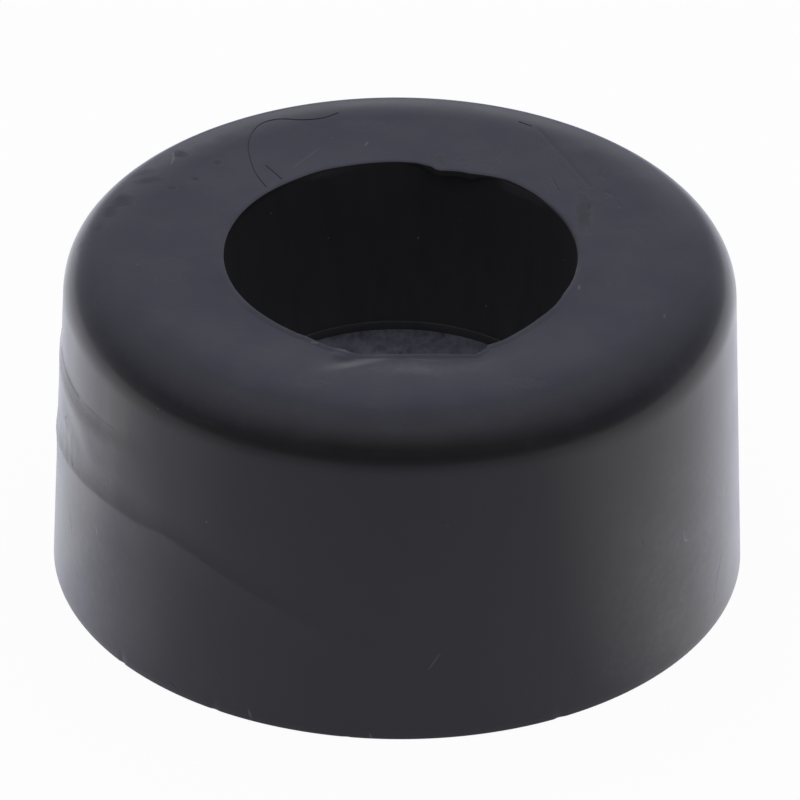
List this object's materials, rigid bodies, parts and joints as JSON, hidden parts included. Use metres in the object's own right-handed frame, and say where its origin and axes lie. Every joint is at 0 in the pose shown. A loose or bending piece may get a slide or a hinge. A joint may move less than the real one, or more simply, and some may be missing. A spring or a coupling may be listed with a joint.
{
  "type": "rubber foot",
  "caption": "Screw-on rubber foot: a round, slightly tapered body with a rolled tread edge and a deep screw recess that is closed by a moulded-in steel washer.",
  "frame": {"origin": "centre of the wide flat face, which is screwed against the case", "axes": "+Z along the screw hole, from the wide face towards the recess and the tread face; +Y towards the tongue of flash on the mouth"},
  "size_m": [0.038, 0.038, 0.0192],
  "materials": {
    "black_rubber": "moulded, low sheen, with dust, smears and flow marks",
    "zinc_plated_steel": "dull zinc plate with moulding residue"
  },
  "bodies": {
    "root": {"rubber_body": "black_rubber", "steel_washer": "zinc_plated_steel"}
  },
  "joints": []
}
